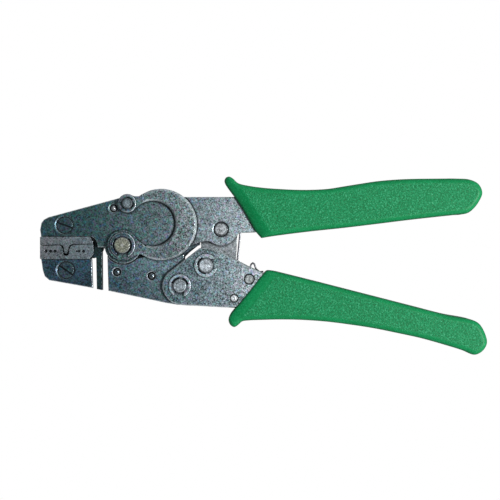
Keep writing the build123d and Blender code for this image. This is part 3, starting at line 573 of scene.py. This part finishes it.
def surface_net(volume, origin):
    """Points and quads of the zero surface. The volume's border has to be outside it."""
    cells = tuple(n - 1 for n in volume.shape)
    total = np.zeros((*cells, 3))
    hits = np.zeros(cells)
    for axis in range(3):
        low, high = edge_ends(volume, axis)
        crossing = (low > 0) != (high > 0)
        t = np.where(crossing, low / np.where(crossing, low - high, 1), 0)
        one, two = [k for k in range(3) if k != axis]
        for u in (0, 1):
            for w in (0, 1):
                near = [slice(None)] * 3
                near[one] = slice(u, cells[one] + u)
                near[two] = slice(w, cells[two] + w)
                crossed = crossing[tuple(near)]
                offset = {axis: t[tuple(near)], one: u, two: w}
                for k in range(3):
                    total[..., k] += np.where(crossed, offset[k], 0)
                hits += crossed
    used = hits > 0
    index = -np.ones(cells, int)
    index[used] = np.arange(used.sum())
    points = (np.argwhere(used) + total[used] / hits[used][:, None]) * VOXEL + origin

    faces = []
    for axis in range(3):
        low, high = edge_ends(volume > 0, axis)
        edges = np.argwhere(low != high)
        quads = []
        for u, w in ((-1, -1), (0, -1), (0, 0), (-1, 0)):
            cell = edges.copy()
            cell[:, (axis + 1) % 3] += u
            cell[:, (axis + 2) % 3] += w
            quads.append(index[tuple(cell.T)])
        quads = np.stack(quads, 1)
        flipped = ~low[tuple(edges.T)]
        quads[flipped] = quads[flipped][:, ::-1]
        faces += quads.tolist()
    return points, faces


def grip_object(name, shape):
    points, faces = surface_net(*shape.volume())
    points = shape.settle(points)
    from_edge = shape.from_edge(points[:, 0], points[:, 1])
    mesh = bpy.data.meshes.new(name)
    mesh.from_pydata(((points + [0, 0, MID_Z]) * MM).tolist(), [], faces)
    mesh.validate()
    mesh.update()
    weights = {"panel": shape.panel(shape.depth(points[:, :2]), from_edge),
               "back": smoothstep(0.5, 7.0, from_edge)}
    for key, values in weights.items():
        attribute = mesh.attributes.new(key, "FLOAT", "POINT")
        attribute.data.foreach_set("value", values.astype(np.float32))
    mesh.shade_smooth()
    grip = bpy.data.objects.new(name, mesh)
    scene.collection.objects.link(grip)
    return grip


def grip_material():
    """Green moulding: smooth border, grained panel, and painted shade on the rim."""
    material = bpy.data.materials.new("moulded_green")
    tree = Tree(material)
    normal, point = tree.surface_inputs()
    panel = tree.node("ShaderNodeAttribute", attribute_name="panel").outputs["Fac"]
    fine = tree.noise(point, scale=1.42, detail=3, roughness=0.62, shift=7.7)
    speck = tree.noise(point, scale=3.1, detail=2, roughness=0.55, shift=17.1)
    broad = tree.noise(point, scale=0.06, detail=3, roughness=0.5, shift=2.2)
    pebbles = tree.node("ShaderNodeTexVoronoi", {"Vector": point, "Scale": 1.25}, feature="F1")

    smooth = tree.mix(tree.remap(broad, across=(0.35, 0.65)),
                      linear(4, 98, 52), linear(8, 108, 60))
    grained = tree.ramp(fine, [(0.32, linear(0, 68, 34)), (0.45, linear(0, 88, 50)),
                               (0.57, linear(4, 106, 64)), (0.72, linear(62, 138, 104))])
    pale = tree.remap(speck, across=(0.60, 0.74), to=(0, 0.45))
    grained = tree.mix(pale, grained, linear(92, 132, 96))
    dark = tree.remap(speck, across=(0.40, 0.28), to=(0, 0.5))
    grained = tree.mix(dark, grained, linear(8, 86, 54))
    # some grain colour shows on the border too
    colour = tree.mix(tree.plus(tree.times(panel, 0.50), 0.36), smooth, grained)

    # painted shade: darker where the moulding turns away, less so at the straight edge
    facing = tree.math("ABSOLUTE", tree.split(normal)["Z"])
    rim = tree.remap(facing, across=(0.15, 0.72), to=(0.75, 0.0))
    back = tree.node("ShaderNodeAttribute", attribute_name="back").outputs["Fac"]
    rim = tree.times(rim, tree.remap(back, across=(0.0, 1.0), to=(0.30, 1.0)))
    colour = tree.mix(rim, colour, linear(4, 74, 38))

    relief = tree.plus(tree.times(fine, 0.8), tree.times(pebbles.outputs["Distance"], 0.5))
    relief = tree.times(relief, tree.plus(tree.times(panel, 0.92), 0.08))
    bump = tree.node("ShaderNodeBump",
                     {"Strength": 0.7, "Distance": 0.22 * MM, "Height": relief})
    tree.finish("ShaderNodeBsdfPrincipled", {
        "Base Color": colour,
        "Roughness": tree.mix(panel, (0.42, 0.42, 0.42, 1), (0.58, 0.58, 0.58, 1)),
        "Specular IOR Level": 0.12,
        "Normal": bump.outputs[0]})
    return material


green = grip_material()
upper_shape = GripShape(smooth_outline(UPPER_OUTLINE, corners=[0]), UPPER_EDGE, edge_half=6.7)
lower_shape = GripShape(smooth_outline(LOWER_OUTLINE), LOWER_EDGE, edge_half=8.2)
for name, shape, body, part in (
        ("upper_grip_moulding", upper_shape, "frame_upper", "upper_grip"),
        ("lower_grip_moulding", lower_shape, "handle_lower", "lower_grip")):
    grip = grip_object(name, shape)
    grip.data.materials.append(green)
    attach(grip, body)
    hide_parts(part)


# ---------------------------------------------------------------- floor, light, camera
def floor_material():
    """White to the camera, a dimmer cool glow to the tool, and clear from below."""
    material = bpy.data.materials.new("floor_white")
    tree = Tree(material)
    seen = tree.node("ShaderNodeEmission", {"Color": (1, 1, 1, 1), "Strength": 1.0})
    felt = tree.node("ShaderNodeEmission", {"Color": (0.9, 0.95, 1.0, 1), "Strength": 0.45})
    to_camera = tree.node("ShaderNodeLightPath").outputs["Is Camera Ray"]
    top = tree.node("ShaderNodeMixShader", {0: to_camera, 1: felt.outputs[0], 2: seen.outputs[0]})
    below = tree.node("ShaderNodeNewGeometry").outputs["Backfacing"]
    clear = tree.node("ShaderNodeBsdfTransparent")
    tree.finish("ShaderNodeMixShader", {0: below, 1: top.outputs[0], 2: clear.outputs[0]})
    return material


def build_floor(half_width=3.0, z=-0.0008):
    mesh = bpy.data.meshes.new("floor")
    corners = [(x * half_width, y * half_width, z) for x, y in ((-1, -1), (1, -1), (1, 1), (-1, 1))]
    mesh.from_pydata(corners, [], [(0, 1, 2, 3)])
    floor = bpy.data.objects.new("floor", mesh)
    scene.collection.objects.link(floor)
    mesh.materials.append(floor_material())


def build_world():
    """Grey studio, brighter towards +X, round the horizon and below."""
    world = bpy.data.worlds.new("studio")
    scene.world = world
    tree = Tree(world, "ShaderNodeOutputWorld")
    way = tree.split(tree.node("ShaderNodeTexCoord").outputs["Generated"])
    across = tree.plus(tree.times(way["Y"], -0.30), way["X"])
    walls = tree.ramp(tree.remap(across, across=(-1.0, 1.0)), [
        (0.12, (0.07, 0.08, 0.09, 1)), (0.50, (0.30, 0.31, 0.32, 1)), (0.96, (1.0, 1.0, 1.0, 1))])
    tilt = tree.node("ShaderNodeMath", {0: way["Z"]}, operation="ABSOLUTE").outputs[0]
    horizon = tree.remap(tilt, across=(0.05, 0.42), to=(0.75, 0.0))
    below = tree.remap(way["Z"], across=(-0.15, -0.5), to=(0.0, 0.55))
    light = tree.vector("ADD", walls, tree.plus(horizon, below))
    tree.finish("ShaderNodeBackground", {"Color": light, "Strength": 1.30})


def disk_light(name, location, size, power, target=(0.06, 0, 0)):
    light = bpy.data.lights.new(name, "AREA")
    light.shape = "DISK"
    light.size = size
    light.energy = power
    lamp = bpy.data.objects.new(name, light)
    scene.collection.objects.link(lamp)
    lamp.location = location
    aim = Vector(target) - Vector(location)
    lamp.rotation_euler = aim.to_track_quat("-Z", "Y").to_euler()


def build_camera(distance=0.600, view_width=0.2375, sensor=36.0):
    """Camera looking straight down; view_width is what it spans at the mid plane."""
    lens = bpy.data.cameras.new("camera")
    camera = bpy.data.objects.new("camera", lens)
    scene.collection.objects.link(camera)
    camera.location = (VIEW_CENTRE[0] * MM, VIEW_CENTRE[1] * MM, MID_Z * MM + distance)
    camera.rotation_euler = (0, 0, 0)
    lens.sensor_width = sensor
    lens.sensor_fit = "HORIZONTAL"
    lens.lens = sensor * distance / view_width
    lens.clip_start = 0.01
    scene.camera = camera


build_floor()
build_world()
disk_light("key_right", location=(0.54, -0.05, 0.68), size=0.09, power=10.5)
disk_light("fill_top", location=(0.02, 0.45, 0.60), size=0.5, power=0.6)
build_camera()
scene.view_settings.view_transform = "Standard"
scene.view_settings.look = "None"
